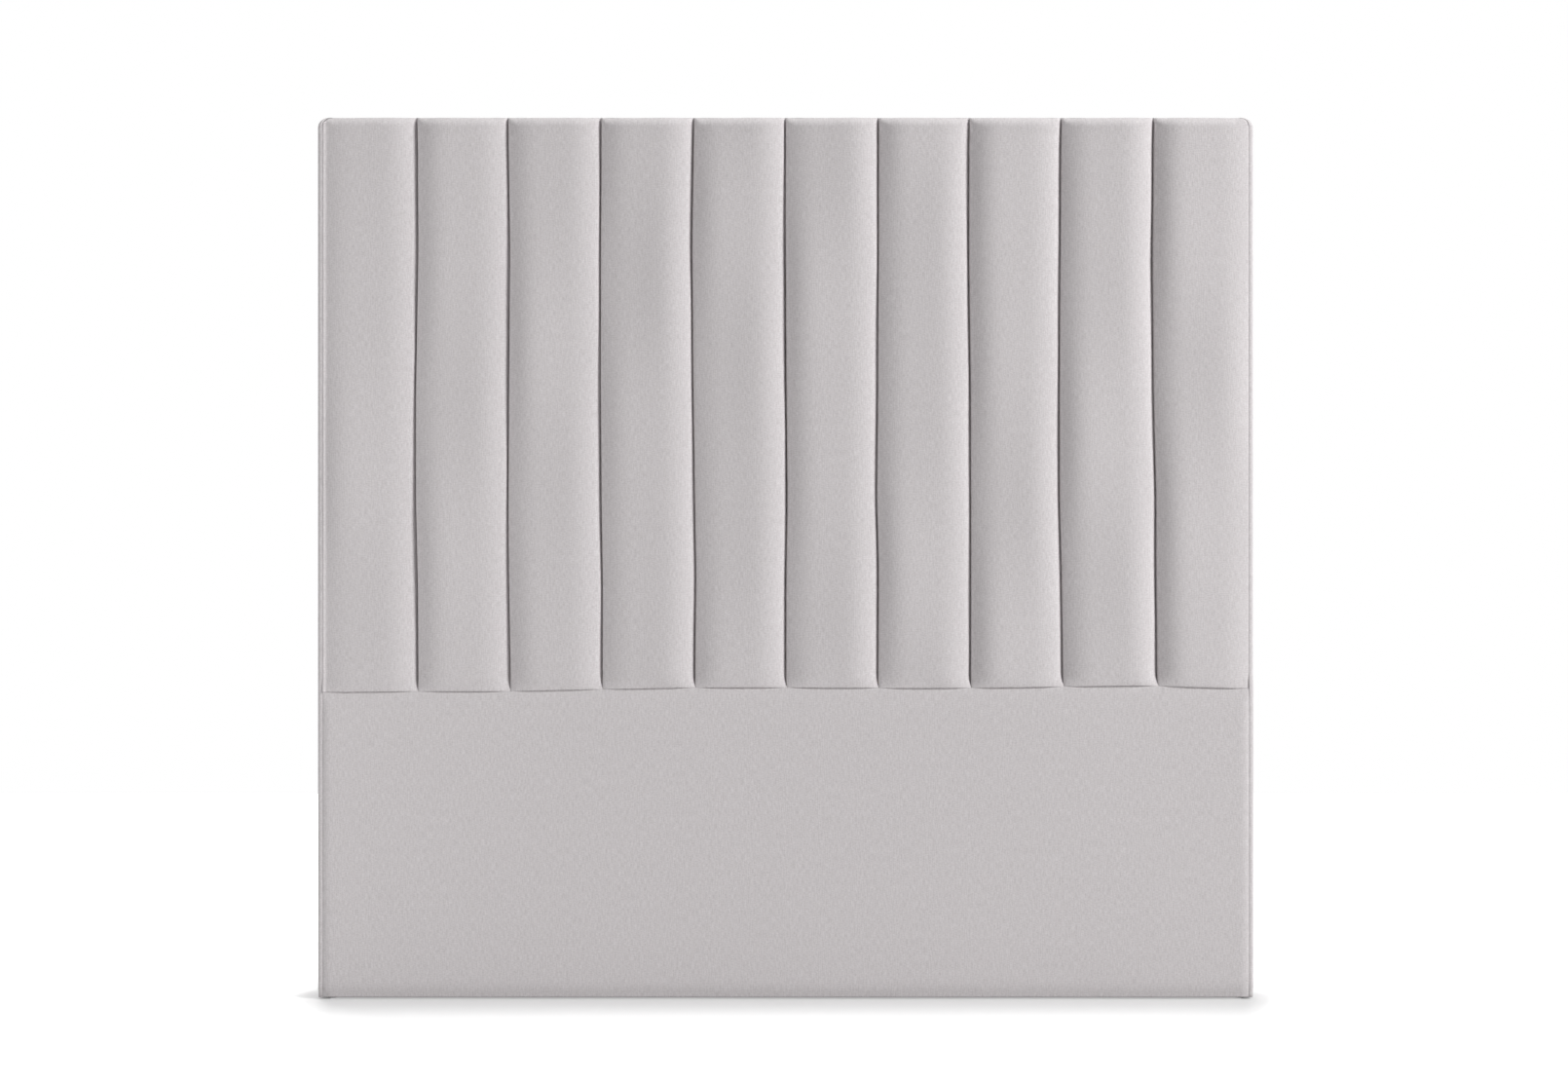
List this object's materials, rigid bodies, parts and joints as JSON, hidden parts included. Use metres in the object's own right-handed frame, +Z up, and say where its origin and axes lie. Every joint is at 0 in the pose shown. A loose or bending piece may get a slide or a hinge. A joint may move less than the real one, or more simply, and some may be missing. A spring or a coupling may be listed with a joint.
{
  "type": "upholstered headboard",
  "caption": "Floor-standing upholstered headboard with upright stuffed channels over a plain lower panel, on a tenoned timber frame.",
  "frame": {"origin": "on the floor, under the middle of the headboard's width and depth", "axes": "+X along the width, to the right seen from the front; the padded front faces -Y; +Z up"},
  "size_m": [1.59, 0.1058, 1.5],
  "materials": {
    "timber": "planed softwood",
    "plywood": "sanded plywood",
    "tack_card": "pressed card",
    "foam": "soft foam",
    "cover_fabric": "matt woven cloth",
    "wadding": "loose fibre",
    "dust_cloth": "matt spun-bonded cloth",
    "staple_wire": "zinc plated",
    "insert_metal": "zinc plated",
    "glide_plastic": "moulded",
    "nail_steel": "bright wire"
  },
  "bodies": {
    "root": {"stile_left": "timber", "stile_right": "timber", "top_rail": "timber", "seam_rail": "timber", "bottom_rail": "timber", "upper_post_1": "timber", "upper_post_2": "timber", "upper_post_3": "timber", "lower_post_1": "timber", "lower_post_2": "timber", "lower_post_3": "timber", "corner_blocks": "timber", "upper_face_board": "plywood", "lower_face_board": "plywood", "tack_strip": "tack_card", "channel_foam_01": "foam", "channel_foam_02": "foam", "channel_foam_03": "foam", "channel_foam_04": "foam", "channel_foam_05": "foam", "channel_foam_06": "foam", "channel_foam_07": "foam", "channel_foam_08": "foam", "channel_foam_09": "foam", "channel_foam_10": "foam", "lower_foam": "foam", "channel_cover_01": "cover_fabric", "channel_cover_02": "cover_fabric", "channel_cover_03": "cover_fabric", "channel_cover_04": "cover_fabric", "channel_cover_05": "cover_fabric", "channel_cover_06": "cover_fabric", "channel_cover_07": "cover_fabric", "channel_cover_08": "cover_fabric", "channel_cover_09": "cover_fabric", "channel_cover_10": "cover_fabric", "lower_cover": "cover_fabric", "boxing_strip": "cover_fabric", "edge_wadding_left": "wadding", "edge_wadding_right": "wadding", "edge_wadding_top": "wadding", "dust_cover": "dust_cloth", "board_staples": "staple_wire", "tack_strip_staples": "staple_wire", "hem_staples": "staple_wire", "dust_cover_staples": "staple_wire", "threaded_inserts": "insert_metal", "glides": "glide_plastic", "glide_nails": "nail_steel"}
  },
  "joints": []
}
